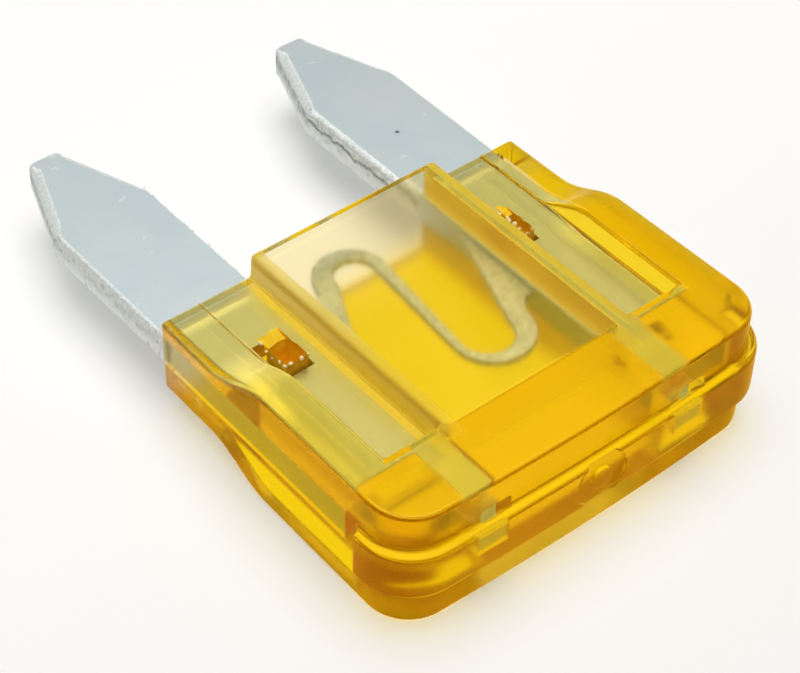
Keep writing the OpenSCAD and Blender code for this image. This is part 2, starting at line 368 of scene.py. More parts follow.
@dataclass(frozen=True)
class Zinc:
    """Bare zinc strip: matt and faintly blue where rolled, speckled where coined or sheared, with
    painted white glints, a painted highlight on the coined bevels, a painted reflection of the
    table low on the sheared walls and painted shade inside the moulding.

    Shares and metal are pairs: for a coined surface, then for a sheared one.
    """

    wear: Wear
    colour: Triple = (0.62, 0.70, 0.71)
    cloud: Triple = (0.645, 0.71, 0.70)
    pale: Triple = (0.86, 0.90, 0.87)
    # white: painted glints, the white flecks on milled, coined and sheared faces.
    white: Triple = (1.0, 1.0, 0.98)
    # A duller grey: the element's grain, and the painted shade of the strip inside the moulding.
    worn_and_shaded: Triple = (0.47, 0.51, 0.49)
    band: Triple = (0.42, 0.47, 0.42)
    # coin: the coined bevel's pale base, a painted highlight of the light it reflects.
    coin: Triple = (0.76, 0.81, 0.77)
    dark: Triple = (0.20, 0.23, 0.22)
    grain: Patches = Patches(0.16, 3.0, 0.36, 0.64)
    glint_flecks: Patches = Patches(0.07, 2.0, 0.58, 0.66)
    mottle: Patches = Patches(1.3, 5.0, 0.38, 0.62)
    grit: Patches = Patches(0.10, 3.0)
    nicks: Patches = Patches(0.5, 2.0, 0.70, 0.76)
    chips: Patches = Patches(0.12, 3.0, 0.30, 0.40)
    coined_pale: Point = (0.38, 0.60)
    sheared_pale: Point = (0.45, 0.65)
    sheared_stretch: Triple = (1.0, 1.0, 0.4)
    # band_z: where the sheared wall turns from its pale lower part, a painted reflection of the
    # white table, to the grey band.
    band_z: Point = (1.40, 1.85)
    taper_y: Point = (5.4, 5.9)
    # Where the strip enters the moulding, from the mouth: the span over which the painted shade
    # comes in.
    moulding_shade_span: Point = (-0.2, 0.1)
    speck_at: Triple = (3.82, 3.55, 2.1)
    speck_r: float = 0.07
    glint_fleck_share: Point = (1.0, 0.3)
    dark_share: Point = (0.12, 0.35)
    metal: Point = (0.35, 0.55)

    def material(self) -> Finish:
        """Builds the material for this kind of surface.

        Returns:
            The material.
        """
        g = Surface("zinc_" + self.wear.value)
        make = {Wear.ROLLED: self.rolled, Wear.MILLED: self.milled}.get(self.wear, self.broken)
        make(g, g.place())
        return g.material

    def milled(self, g: Surface, where: Signal) -> None:
        """The thinned element: grainy, with a few painted glints as white flecks.

        Args:
            g: the material's node tree.
            where: the place on the piece, in millimetres.
        """
        grain = g.cloud(where, self.grain)
        base = g.blend(grain.above(self.grain.low, self.grain.high), self.worn_and_shaded, self.colour)
        # Painted glints: white flecks on the element.
        base = g.blend(g.patches(where, self.glint_flecks) * 0.7, base, self.white)
        g.shade(Base_Color=base, Metallic=0.9, Roughness=0.42 + grain * 0.15,
                Normal=g.bump(grain, 0.012))

    def rolled(self, g: Surface, where: Signal) -> None:
        """The strip's face: soft clouds, pale nicks and a dark speck, with painted shade inside
        the moulding.

        Args:
            g: the material's node tree.
            where: the place on the piece, in millimetres.
        """
        mottle, grit = g.cloud(where, self.mottle), g.cloud(where, self.grit)
        base = g.blend(mottle.above(self.mottle.low, self.mottle.high), self.colour, self.cloud)
        base = g.blend(g.patches(where, self.nicks) * 0.5, base, self.pale)
        # Painted shade: the face darkens toward the duller grey inside the moulding.
        inside = 1 - g.axis(where, "Y").above(*(MOUTH_Y + y for y in self.moulding_shade_span))
        base = g.blend(inside * 0.45, base, self.worn_and_shaded)
        away = g.node("VectorMath", where, self.speck_at, out="Value",
                      settings={"operation": "DISTANCE"})
        speck = 1 - (grit * 0.05 + away).above(self.speck_r * 0.9, self.speck_r * 1.4)
        g.shade(Base_Color=g.blend(speck, base, self.dark), Metallic=1.0,
                Roughness=mottle * 0.06 + 0.52, Normal=g.bump(grit * 0.4 + mottle * 1.5, 0.006))

    def broken(self, g: Surface, where: Signal) -> None:
        """A coined bevel, bright and speckled, its pale base a painted highlight, or a sheared
        wall with a grey band below its top edge and a paler lower part, a painted reflection of
        the white table; both carry painted white glints.

        Args:
            g: the material's node tree.
            where: the place on the piece, in millimetres.
        """
        sheared = self.wear is Wear.SHEARED
        chips = g.cloud(g.place(self.sheared_stretch) if sheared else where, self.chips)
        if sheared:
            # Painted reflection: the sheared wall is pale low down, as if mirroring the white
            # table, and grey toward its top.
            low = g.axis(where, "Z").above(*self.band_z)
            taper = g.axis(where, "Y").above(*self.taper_y)
            base = g.blend(low * (taper * 0.65 + 0.35), self.pale, self.band)
            base = g.blend(chips.above(*self.sheared_pale) * 0.5, base, self.pale)
        else:
            # Painted highlight: the coined bevel's pale base and low metal stand in for the bright
            # light it reflects, over its real speckle.
            base = g.blend(chips.above(*self.coined_pale), self.coin, self.pale)
        # Painted glints: white flecks.
        glint_flecks = g.patches(where, self.glint_flecks)
        base = g.blend(glint_flecks * self.glint_fleck_share[sheared], base, self.white)
        dark = 1 - chips.above(self.chips.low, self.chips.high)
        base = g.blend(dark * self.dark_share[sheared], base, self.dark)
        g.shade(Base_Color=base, Metallic=self.metal[sheared],
                Roughness=0.42 + (1 - chips.above(0.4, 0.7)) * 0.2,
                Normal=g.bump(chips + glint_flecks * 0.3, 0.02))


@dataclass(frozen=True)
class Tabletop:
    """Plain white surface under the part."""

    colour: Triple = (0.95, 0.935, 0.915)
    roughness: float = 0.6
    specular: float = 0.2
    lift: float = 0.25
    white: Triple = (1.29, 1.30, 1.29)
    # near_white and near_fade: the emitted white dims and warms toward the camera, a painted
    # falloff of the light.
    near_white: Triple = (1.03, 1.00, 0.96)
    near_fade: Point = (-18.0, 12.0)
    # glow and gloss_glow: painted light, an amber emission on the table under the part, seen
    # through it or off it.
    glow_lift: float = 0.9
    glow: Triple = (1.08, 0.90, 0.0)
    gloss_glow: Triple = (1.15, 0.62, 0.0)
    glow_fade: Point = (-0.2, 1.2)

    def material(self) -> Finish:
        """Builds the material, lifted toward white, or toward a painted amber glow, emitted where
        light through the part would fall on it.

        Returns:
            The material.
        """
        g = Surface("tabletop")
        matt = g.shade(Base_Color=self.colour, Roughness=self.roughness,
                       Specular_IOR_Level=self.specular)
        glossy, through = g.ray("Glossy"), g.ray("Transmission")
        along, in_part = g.axis(g.place(), "Y"), glossy.larger(through)
        near = 1 - along.above(*self.near_fade)
        # Painted light: under the part, rays that come through or off the plastic see an amber
        # glow.
        under = in_part * (1 - along.above(*(MOUTH_Y + y for y in self.glow_fade)))
        paper = g.blend(near, self.white, self.near_white)
        glow = g.blend(glossy * (1 - through), self.glow, self.gloss_glow)
        emitted = g.node("Emission", g.blend(under, paper, glow))
        share = g.ray("Camera").larger(in_part) * self.lift
        share = share + under * (self.glow_lift - self.lift)
        g.feed(g.output.inputs["Surface"], g.node("MixShader", share, matt, emitted))
        return g.material


# ---- mesh helpers


# Points nearer than SAME count as one; tools reach OVER past what they cut, in millimetres.
SAME = 1e-5
OVER = 1.0


class Cut(Enum):
    """What a tool does to the solid it meets."""

    REMOVE = "DIFFERENCE"
    ADD = "UNION"


class Along(Enum):
    """The direction a flat profile is pushed along, with the profile's own two axes."""

    Z = ((1, 0, 0), (0, 1, 0), (0, 0, 1))
    X = ((0, 0, 1), (1, 0, 0), (0, 1, 0))
    MINUS_Y = ((1, 0, 0), (0, 0, -1), (0, 1, 0))


def show(name: str, data: bpy.types.ID) -> Thing:
    """Makes an object of a mesh, a lamp or a camera and links it to the scene.

    Args:
        name: what to call it.
        data: the mesh, lamp or camera.

    Returns:
        The object.
    """
    made = bpy.data.objects.new(name, data)
    bpy.context.scene.collection.objects.link(made)
    return made


def from_lists(name: str, points: Sequence, faces: Sequence) -> Thing:
    """Makes an object from points and faces.

    Args:
        name: what to call it.
        points: its corners.
        faces: each face as the numbers of its corners.

    Returns:
        The object.
    """
    mesh = bpy.data.meshes.new(name)
    mesh.from_pydata([tuple(p) for p in points], [], faces)
    mesh.validate()
    return show(name, mesh)


@contextmanager
def edited(thing: Thing) -> Iterator[bmesh.types.BMesh]:
    """Opens an object's mesh for changes and writes it back afterwards."""
    shell = bmesh.new()
    shell.from_mesh(thing.data)
    yield shell
    shell.to_mesh(thing.data)
    shell.free()


def outwards(thing: Thing) -> Thing:
    """Merges doubles and turns every face of a closed solid outwards.

    Args:
        thing: the object to change.

    Returns:
        The same object.
    """
    with edited(thing) as shell:
        bmesh.ops.remove_doubles(shell, verts=shell.verts, dist=SAME)
        bmesh.ops.recalc_face_normals(shell, faces=shell.faces)
    return thing


def prism(name: str, outline: Sequence[Point], low: float, high: float,
          along: Along = Along.Z) -> Thing:
    """Pushes a flat outline along an axis, from low to high.

    Args:
        name: what to call it.
        outline: the profile's points, running round.
        low: where it starts along the axis.
        high: where it ends.
        along: the axis.

    Returns:
        The solid.
    """
    n = len(outline)
    axes = Matrix(along.value)
    points = [axes @ Vector((u, v, w)) for w in (low, high) for u, v in outline]
    faces = [tuple(reversed(range(n))), tuple(range(n, 2 * n))]
    faces += [(i, (i + 1) % n, n + (i + 1) % n, n + i) for i in range(n)]
    return outwards(from_lists(name, points, faces))


def block(name: str, low: Triple, high: Triple) -> Thing:
    """A plain box between two corners."""
    (x0, y0, z0), (x1, y1, z1) = low, high
    return prism(name, [(x0, y0), (x1, y0), (x1, y1), (x0, y1)], z0, z1)


def lidded(name: str, rows: Sequence[Sequence[Triple]], lid: float) -> Thing:
    """A solid between a surface, given as rows of points, and a flat lid at some height.

    Args:
        name: what to call it.
        rows: the surface's points, row by row.
        lid: the height of the flat side.

    Returns:
        The solid.
    """
    down, across = len(rows), len(rows[0])
    points = [point for row in rows for point in row]
    starts = [i * across + j for i in range(down - 1) for j in range(across - 1)]
    faces = [(k, k + 1, k + across + 1, k + across) for k in starts]
    base = len(points)
    rim = [*range(across), *range(2 * across - 1, base, across),
           *range(base - 2, base - across - 1, -1), *range((down - 2) * across, 0, -across)]
    n = len(rim)
    points += [(*points[i][:2], lid) for i in rim]
    faces += [(rim[k], base + k, base + (k + 1) % n, rim[(k + 1) % n]) for k in range(n)]
    faces.append(tuple(base + k for k in range(n)))
    return outwards(from_lists(name, points, faces))


def mirrored(thing: Thing, axis: int, about: float = 0.0) -> Thing:
    """A mirrored copy of an object's mesh, across a plane square to one axis.

    Args:
        thing: the object to copy.
        axis: 0, 1 or 2, for X, Y or Z.
        about: where the plane lies on that axis.

    Returns:
        The copy.
    """
    copy = show(thing.name + "_m", thing.data.copy())
    for vertex in copy.data.vertices:
        vertex.co[axis] = 2 * about - vertex.co[axis]
    return outwards(copy)


def plain(thing: Thing) -> Thing:
    """Turns an object with modifiers into a plain mesh.

    Args:
        thing: the object to change.

    Returns:
        The same object.
    """
    graph = bpy.context.evaluated_depsgraph_get()
    old, mesh = thing.data, bpy.data.meshes.new_from_object(thing.evaluated_get(graph))
    thing.modifiers.clear()
    thing.data = mesh
    bpy.data.meshes.remove(old)
    return thing


def work(solid: Thing, cut: Cut, *tools: Thing) -> Thing:
    """Adds the tools' shapes to a solid or takes them off, one by one, and removes the tools.

    Args:
        solid: the solid to change.
        cut: what the tools do to it.
        tools: the shapes, which are used up.

    Returns:
        The same solid.
    """
    for tool in tools:
        step = solid.modifiers.new("work", "BOOLEAN")
        step.operation = cut.value
        step.solver = "EXACT"
        step.object = tool
        plain(solid)
        bpy.data.objects.remove(tool)
    return solid


def both_sides(make: Callable[[], Thing]) -> list[Thing]:
    """A shape and its mirror image on the other side of the middle."""
    one = make()
    return [one, mirrored(one, 0)]


def four_ways(make: Callable[[], Thing]) -> list[Thing]:
    """A shape on both sides and on both faces."""
    return [t for one in both_sides(make) for t in (one, mirrored(one, 2, MID_Z))]


def rounded(thing: Thing, width: float, segments: int) -> Thing:
    """Rounds every edge sharper than 30 degrees.

    Args:
        thing: the object to change.
        width: how wide the rounding is.
        segments: how many faces lie across it.

    Returns:
        The same object.
    """
    step = thing.modifiers.new("round", "BEVEL")
    step.limit_method = "ANGLE"
    step.angle_limit = math.radians(30)
    step.width = width
    step.segments = segments
    step.use_clamp_overlap = False
    return plain(thing)


def smooth(thing: Thing, sharp: float) -> Thing:
    """Shades smoothly between edges sharper than some degrees, keeping flat faces flat.

    Args:
        thing: the object to change.
        sharp: the angle in degrees.

    Returns:
        The same object.
    """
    for face in thing.data.polygons:
        face.use_smooth = True
    thing.data.set_sharp_from_angle(angle=math.radians(sharp))
    step = thing.modifiers.new("even", "WEIGHTED_NORMAL")
    step.keep_sharp = True
    step.weight = 100
    return plain(thing)


def coat(thing: Thing, finishes: Sequence[Finish], taken: Sequence[int] = ()) -> None:
    """Gives an object its finishes, and its faces the numbers of those that they take.

    Args:
        thing: the object to change.
        finishes: the materials, in order.
        taken: the number of its finish, for each face.
    """
    for finish in finishes:
        thing.data.materials.append(finish)
    for face, number in zip(thing.data.polygons, taken):
        face.material_index = number


def joined(name: str, things: Sequence[Thing]) -> Thing:
    """Joins several objects into one, keeping their materials.

    Args:
        name: what to call the whole.
        things: the objects, which become the first one.

    Returns:
        The joined object.
    """
    with bpy.context.temp_override(active_object=things[0], selected_editable_objects=things):
        bpy.ops.object.join()
    things[0].name = name
    things[0].data.name = name
    return things[0]


def seat(thing: Thing) -> None:
    """Puts a finished piece in the shared frame, in metres, and lets it ride on the body.

    Args:
        thing: the piece.
    """
    thing.data.transform(Matrix.Translation((0, MOUTH_Y * MM, 0)) @ Matrix.Scale(MM, 4))
    thing.data.update()
    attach(thing, "root")
    log.info("%s: %d faces", thing.name, len(thing.data.polygons))


# ---- burrs


@dataclass(frozen=True)
class Crumbs:
    """Broken crumbs scattered along an edge: how many, how large and how far off the line."""

    count: int
    size: float
    spread: float
    seed: int

    def tree(self) -> bpy.types.NodeTree:
        """Builds the node tree that scatters them, with its sizes as named inputs.

        Returns:
            The tree.
        """
        group = bpy.data.node_groups.new("crumbs", "GeometryNodeTree")
        face = group.interface
        for name, kind in (("Line", "Geometry"), ("Count", "Int"), ("Size", "Float"),
                           ("Spread", "Float"), ("Seed", "Int"), ("Finish", "Material")):
            face.new_socket(name, in_out="INPUT", socket_type="NodeSocket" + kind)
        face.new_socket("Crumbs", in_out="OUTPUT", socket_type="NodeSocketGeometry")
        g = Graph(group)
        given = {socket.name: Signal(g, socket)
                 for socket in group.nodes.new("NodeGroupInput").outputs}

        def scatter(low: float, high: float) -> Signal:
            """A random vector between two values on every axis."""
            return g.node("FunctionNodeRandomValue", settings={"data_type": "FLOAT_VECTOR"},
                          Min=(low,) * 3, Max=(high,) * 3, Seed=given["Seed"])

        def scaled(vector: Signal, by: str) -> Signal:
            """A vector times one of the tree's inputs."""
            return g.node("VectorMath", settings={"operation": "SCALE"}, Vector=vector,
                          Scale=given[by])

        curve = g.node("GeometryNodeMeshToCurve", Mesh=given["Line"])
        spots = g.node("GeometryNodeResampleCurve", Curve=curve, Count=given["Count"])
        moved = g.node("GeometryNodeSetPosition", Geometry=spots,
                       Offset=scaled(scatter(-1.0, 1.0), "Spread"))
        placed = g.node("GeometryNodeInstanceOnPoints", Points=moved,
                        Instance=g.node("GeometryNodeMeshIcoSphere"),
                        Rotation=scatter(0.0, math.tau), Scale=scaled(scatter(0.3, 1.0), "Size"))
        real = g.node("GeometryNodeRealizeInstances", Geometry=placed)
        dress = g.node("GeometryNodeSetMaterial", Geometry=real, Material=given["Finish"])
        g.feed(group.nodes.new("NodeGroupOutput").inputs["Crumbs"], dress)
        return group

    def along(self, line: Sequence[Triple], finish: Finish) -> Thing:
        """Scatters them along a line of points, as one plain mesh with one finish.

        Args:
            line: the points of the line.
            finish: the crumbs' material.

        Returns:
            The crumbs as one object.
        """
        mesh = bpy.data.meshes.new("crumbs")
        mesh.from_pydata(line, [(i, i + 1) for i in range(len(line) - 1)], [])
        made = show("crumbs", mesh)
        step = made.modifiers.new("scatter", "NODES")
        step.node_group = self.tree()
        values = {"Count": self.count, "Size": self.size, "Spread": self.spread,
                  "Seed": self.seed, "Finish": finish}
        for item in step.node_group.interface.items_tree:
            if item.in_out == "INPUT" and item.name in values:
                step[item.identifier] = values[item.name]
        return plain(made)


# ---- housing


@dataclass(frozen=True)
class Housing:
    """The one-piece amber moulding: head, rails, window panel, ridge, pockets and inner rooms."""

    mouth_w: float = 10.8
    head_w: float = 11.0
    length: float = 9.05
    head_l: float = 2.1
    corner_r: float = 1.15
    end_bow: float = 0.1
    panel_w: float = 5.6
    wall: float = 0.45
    cavity_w: float = 5.1
    cavity_r: float = 0.08
    recess_d: float = 0.65
    recess_draft: float = 0.05
    rail_w: float = 1.0
    rail_lap: float = 0.002
    ramp_start: float = 1.9
    ramp_l: float = 2.1
    ramp_steps: int = 18
    ridge_out: float = 0.25
    ridge_h: float = 1.3
    ridge_l: float = 1.55
    dish_r: float = 0.75
    dish_d: float = 0.1
    gate_r: float = 0.3
    gate_end: float = 0.02
    tab_back: float = 0.45
    window_w: float = 0.86
    window_z: Point = (2.40, 2.80)
    window_foot: Point = (1.70, 2.16)
    window_r: float = 0.07
    slot_x: float = 5.04
    slot_h: float = 0.88
    slot_l: float = 6.79
    stake_l: float = 1.22
    stake_slack: float = 0.08
    pocket_w: Point = (0.62, 0.24)
    pocket_l: float = 1.2
    pocket_y: Point = (-0.58, 0.20)
    pocket_bite: float = 0.2
    pocket_scoop: Point = (0.02, 0.10)
    pocket_lean: Point = (0.04, 0.08)
    torn: float = 0.05
    torn_grain: float = 7.0
    torn_cuts: int = 5
    torn_seed: int = 7
    crumbs: Crumbs = Crumbs(8, 0.08, 0.05, 7)
    edge_r: float = 0.12
    sharp: float = 35.0

    @property
    def recess_z(self) -> float:
        """Height of the recesses' floors."""
        return TOP_Z - self.recess_d

    @property
    def recess_l(self) -> float:
        """Length of the recesses and of the cavity, from the mouth."""
        return self.length - self.head_l

    @property
    def rail_x(self) -> float:
        """Distance of the rails' inner walls from the middle, at their foot."""
        return self.mouth_w / 2 - self.rail_w

    def outline(self, grow: float = 0.0) -> list[Point]:
        """The outline seen from above, grown on every side but the mouth.

        Args:
            grow: by how much it is grown.

        Returns:
            The points, running round.
        """
        x0 = self.head_w / 2 - self.corner_r
        r = self.corner_r + grow

        def reach(x: float) -> float:
            """How far the bowed end lies from the mouth."""
            return self.length - self.end_bow * (x / x0) ** 2

        half = [(self.mouth_w / 2 + grow, 0.0)]
        for a in (math.radians(90 * i / 12) for i in range(12)):
            half.append((x0 + r * math.cos(a), self.corner_r - reach(x0) - r * math.sin(a)))
        half += [(x0 * (1 - i / 8), -reach(x0 * (1 - i / 8)) - grow) for i in range(8)]
        other = [(-x, y) for x, y in reversed(half)]
        return half + [(0.0, -self.length - grow)] + other

    def side(self, y: float) -> float:
        """Half the width at a place along the length, by the draft of the sides."""
        run = self.length - self.end_bow - self.corner_r
        return (self.mouth_w + (self.head_w - self.mouth_w) * min(1.0, max(0.0, -y / run))) / 2

    def shell(self) -> Thing:
        """The outer solid with its recesses, ridge and rounded edges, rails still full height.

        Returns:
            The solid.
        """
        start = self.ridge_l - self.length
        edge, half = self.side(start) + self.ridge_out, self.ridge_h / 2
        ridge = [(x, y) for x, y in self.outline(self.ridge_out) if y < start]
        ridge = prism("ridge", [(edge, start), *ridge, (-edge, start)], MID_Z - half, MID_Z + half)
        body = work(prism("housing", self.outline(), 0, TOP_Z), Cut.ADD, ridge)
        return rounded(work(body, Cut.REMOVE, *four_ways(self.recess)), self.edge_r, 4)

    def recess(self) -> Thing:
        """The room beside the panel, its walls drafted.

        Returns:
            The shape to take off, on the right and on top.
        """
        x0, x1 = self.panel_w / 2, self.rail_x
        slope = self.recess_draft / self.recess_d * OVER
        profile = [
            (x0 + self.recess_draft, self.recess_z), (x1 - self.recess_draft, self.recess_z),
            (x1 + slope, TOP_Z + OVER), (x0 - slope, TOP_Z + OVER),
        ]
        return prism("recess", profile, -OVER, self.recess_l, Along.MINUS_Y)

    def rise(self, y: float) -> float:
        """Height of the rail above the recess floor at a place along the length."""
        t = min(1.0, max(0.0, (-y - self.ramp_start) / self.ramp_l))
        return self.recess_d * (1 - math.cos(math.pi * t)) / 2

    def rail_row(self, y: float) -> list[Triple]:
        """The top of a rail across its width, its edges rounded, at a place along the length.

        Args:
            y: the place along the length.

        Returns:
            The points, from the inside out.
        """
        r, h, out = self.edge_r, self.rise(y), self.side(y)
        inner = min(r, h * 0.8)
        mouth = 0.0 if y <= -r else r - math.sqrt(max(0.0, r * r - (r + min(y, 0.0)) ** 2))
        lip = self.rail_x - self.recess_draft * (1 - h / self.recess_d)
        arcs = [math.radians(a) for a in (0, 20, 40, 60, 80, 90)]
        row = [(self.rail_x - self.recess_draft - self.rail_lap, -inner)]
        row += [(lip + inner * (1 - math.cos(a)), inner * (math.sin(a) - 1)) for a in arcs]
        row += [(out - r * (1 - math.sin(a)), -r * (1 - math.cos(a))) for a in arcs]
        row.append((out + OVER, -r))
        return [(x, y, self.recess_z + h + down - mouth) for x, down in row]

    def rail_end(self) -> Thing:
        """What is taken off a rail so that it ramps down toward the mouth, its edges rounded.

        Returns:
            The shape to take off, on the right and on top.
        """
        places = [OVER, 0.0]
        places += [-self.edge_r * (1 - math.cos(math.radians(a))) for a in (25, 45, 65, 90)]
        places.append(-self.ramp_start * 0.6)
        places += [-self.ramp_start - self.ramp_l * i / self.ramp_steps
                   for i in range(self.ramp_steps + 1)]
        return lidded("rail_end", [self.rail_row(y) for y in places], TOP_Z + OVER)

    def gate(self, body: Thing) -> None:
        """Sinks the gate mark's round dish into the head's end, with the gate's stub in it.

        Args:
            body: the moulding.
        """
        end = self.length + self.ridge_out
        dish, stub = ([(r * math.cos(a), MID_Z + r * math.sin(a))
                       for a in (math.tau * i / 48 for i in range(48))]
                      for r in (self.dish_r, self.gate_r))
        work(body, Cut.REMOVE, prism("dish", dish, end - self.dish_d, end + OVER, Along.MINUS_Y))
        work(body, Cut.ADD, prism("stub", stub, end - 0.3, end - self.gate_end, Along.MINUS_Y))

    def rooms(self) -> list[Thing]:
        """The open cavity, the slot for the link round its stakes, and the test windows.

        Returns:
            The shapes to take off.
        """
        cavity = block("cavity", (-self.cavity_w / 2, -self.recess_l, self.wall),
                       (self.cavity_w / 2, OVER, TOP_Z - self.wall))
        rounded(cavity, self.cavity_r, 2)
        half = self.slot_h / 2
        slot = block("slot", (-self.slot_x, -self.slot_l, MID_Z - half),
                     (self.slot_x, OVER, MID_Z + half))
        for left, right in FIT.holes:
            sy, slack = self.stake_l / 2, self.stake_slack / 2
            work(slot, Cut.REMOVE, block("stake", (left + slack, -FIT.stake_y - sy, 0),
                                         (right - slack, -FIT.stake_y + sy, TOP_Z)))
        reach = self.length - self.tab_back
        gap = (self.slot_h - FIT.strip_t) / 2
        tabs = both_sides(lambda: block(
            "tab", (FIT.tab_x - FIT.tab_w / 2 - gap, -reach - gap, MID_Z - half),
            (FIT.tab_x + FIT.tab_w / 2 + gap, -self.slot_l + 0.5, MID_Z + half)))
        front, back = -self.length - 0.05, -reach + 0.02
        (low, high), (foot, head) = self.window_z, self.window_foot
        opening = [(front, low), (front, high), (back, head), (back, foot)]
        windows = both_sides(lambda: rounded(prism(
            "window", opening, FIT.tab_x - self.window_w / 2, FIT.tab_x + self.window_w / 2,
            Along.X), self.window_r, 3))
        return [cavity, slot, *tabs, *windows]

    def pocket(self, side: int, width: float) -> Thing:
        """The torn pit that the staking punch leaves in the upper face on one side (-1 or 1).

        Args:
            side: -1 for the left side, 1 for the right one.
            width: the pit's width.

        Returns:
            The shape to take off.
        """
        deep = self.recess_z - MID_Z - FIT.strip_t / 2 + self.pocket_bite
        (far, near), (scoop, shelf) = self.pocket_y, self.pocket_scoop
        far_lean, near_lean = self.pocket_lean
        profile = [(self.pocket_l / 2, 0.4), (self.pocket_l / 2, scoop), (near, -shelf),
                   (near - near_lean, -deep), (far, -deep), (far - far_lean, 0.4)]
        profile = [(y - FIT.stake_y, z + self.recess_z) for y, z in profile]
        middle = sum(FIT.holes[side > 0]) / 2
        pit = prism("pocket", profile, middle - width / 2, middle + width / 2, Along.X)
        with edited(pit) as shell:
            bmesh.ops.triangulate(shell, faces=shell.faces)
            bmesh.ops.subdivide_edges(shell, edges=shell.edges, cuts=self.torn_cuts,
                                      use_grid_fill=True)
            noise.seed_set(self.torn_seed)
            for vertex in shell.verts:
                vertex.co += noise.noise_vector(vertex.co * self.torn_grain) * self.torn
        return pit

    def rim(self, side: int, width: float) -> list[Triple]:
        """The line round a pit's outer and head-side edges, where the plastic is burred.

        Args:
            side: -1 for the left side, 1 for the right one.
            width: the pit's width.

        Returns:
            The points of the line.
        """
        far, near = self.pocket_y
        middle, z = sum(FIT.holes[side > 0]) / 2, self.recess_z
        x0, x1 = middle - width / 2 - 0.05, middle + width / 2
        y0, y1 = near - FIT.stake_y + 0.1, far - FIT.stake_y - 0.05
        return [(x0, y0, z), (x0, y1, z), (x1, y1, z)]

    def build(self) -> Thing:
        """Makes the moulding.

        Returns:
            The finished moulding.
        """
        body = work(self.shell(), Cut.REMOVE, *four_ways(self.rail_end))
        self.gate(body)
        outwards(work(body, Cut.REMOVE, *self.rooms()))
        body.data.materials.clear()
        finishes = AmberPlastic().material(), PRESSED.material()
        coat(body, finishes)
        # The crumbs round the pits carry painted glints in their pale finish.
        torn, burrs = BURR_GLINTS.material(), []
        for side, width in zip((-1, 1), self.pocket_w):
            pit = self.pocket(side, width)
            coat(pit, finishes, [1] * len(pit.data.polygons))
            work(body, Cut.REMOVE, mirrored(pit, 2, MID_Z), pit)
            crumbs = replace(self.crumbs, seed=self.crumbs.seed + side)
            burrs.append(crumbs.along(self.rim(side, width), torn))
        body = joined("amber_housing", [smooth(body, self.sharp), *burrs])
        seat(body)
        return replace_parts(body, "housing")


# ---- fuse link


TOP_ROWS = 5
WALL_ROWS = 15
BOTTOM_ROWS = 3
LAST_ROW = TOP_ROWS + WALL_ROWS + BOTTOM_ROWS + 1


@dataclass(frozen=True)
class EdgeForm:
    """How the edge of a stamped outline is formed at one place, in millimetres.

    Where flat is 1, the top edge is a flat bevel, and where it is 0, a round.
    """

    top_in: float = 0.04
    top_down: float = 0.04
    bottom: float = 0.04
    rough: float = 0.004
    crack: float = 0.0
    flat: float = 0.0

    def toward(self, other: "EdgeForm", share: float) -> "EdgeForm":
        """This form blended with another by a share, held between 0 and 1.

        Args:
            other: the form to blend with.
            share: how much of it is taken.

        Returns:
            The blended form.
        """
        share = min(1.0, max(0.0, share))
        return EdgeForm(*(mine + (getattr(other, name) - mine) * share
                          for name, mine in vars(self).items()))

    def place(self, row: int, half: float) -> Point:
        """How far in, and how high over the middle of a strip of half a thickness, a row lies.

        Args:
            row: the row's number, from the top face down.
            half: half the strip's thickness.

        Returns:
            The inset and the height.
        """
        if row <= TOP_ROWS:
            t, flat = row / TOP_ROWS * math.pi / 2, self.flat * row / TOP_ROWS
            inset = self.top_in * (1 - math.sin(t) * (1 - self.flat) - flat)
            return inset, half - self.top_down * (flat + (1 - self.flat) * (1 - math.cos(t)))
        if row <= TOP_ROWS + WALL_ROWS:
            t = (row - TOP_ROWS) / (WALL_ROWS + 1)
            return 0.0, (half - self.top_down) * (1 - t) + (self.bottom - half) * t
        t = (row - TOP_ROWS - WALL_ROWS - 1) / BOTTOM_ROWS * math.pi / 2
        return self.bottom * (1 - math.cos(t)), self.bottom * (1 - math.sin(t)) - half


# The blades' sheared sides, by blade, left (-1) or right (1), and by whether they face outwards.
SHEARED = {
    (-1, True): EdgeForm(0.12, 0.09, 0.05, 0.016, 0.03),
    (-1, False): EdgeForm(0.06, 0.05, 0.05, 0.034),
    (1, False): EdgeForm(0.20, 0.11, 0.05, 0.024, 0.07),
    (1, True): EdgeForm(0.05, 0.05, 0.04, 0.006),
}
# The coined bevels of the tapers on each blade's left (-X) edge and on its right edge.
COINED = EdgeForm(0.26, 0.13, 0.08, 0.007, flat=0.7), EdgeForm(0.14, 0.07, 0.08, 0.007, flat=0.7)
TIP = EdgeForm(0.06, 0.07, 0.05, 0.005)


@dataclass(frozen=True)
class Loop:
    """One loop of the element: a half turn, thin on the strand's side and wide at its limb."""

    middle: Point
    radius: float
    thin: float
    limb: float = 0.56

    def outline(self, web: list[Point]) -> list[Point]:
        """The outer arc of a loop that opens toward +Y, round to the limb, a web, and back.

        Args:
            web: the points of the web at the end of the limb.

        Returns:
            The points, with the loop's middle as origin.
        """
        turn = [math.pi * (1 + i / 36) for i in range(37)]
        r, shift = self.radius - (self.thin + self.limb) / 2, (self.thin - self.limb) / 2
        outer = [(self.radius * math.cos(a), self.radius * math.sin(a)) for a in turn]
        return outer + web + [(shift + r * math.cos(a), r * math.sin(a)) for a in reversed(turn)]


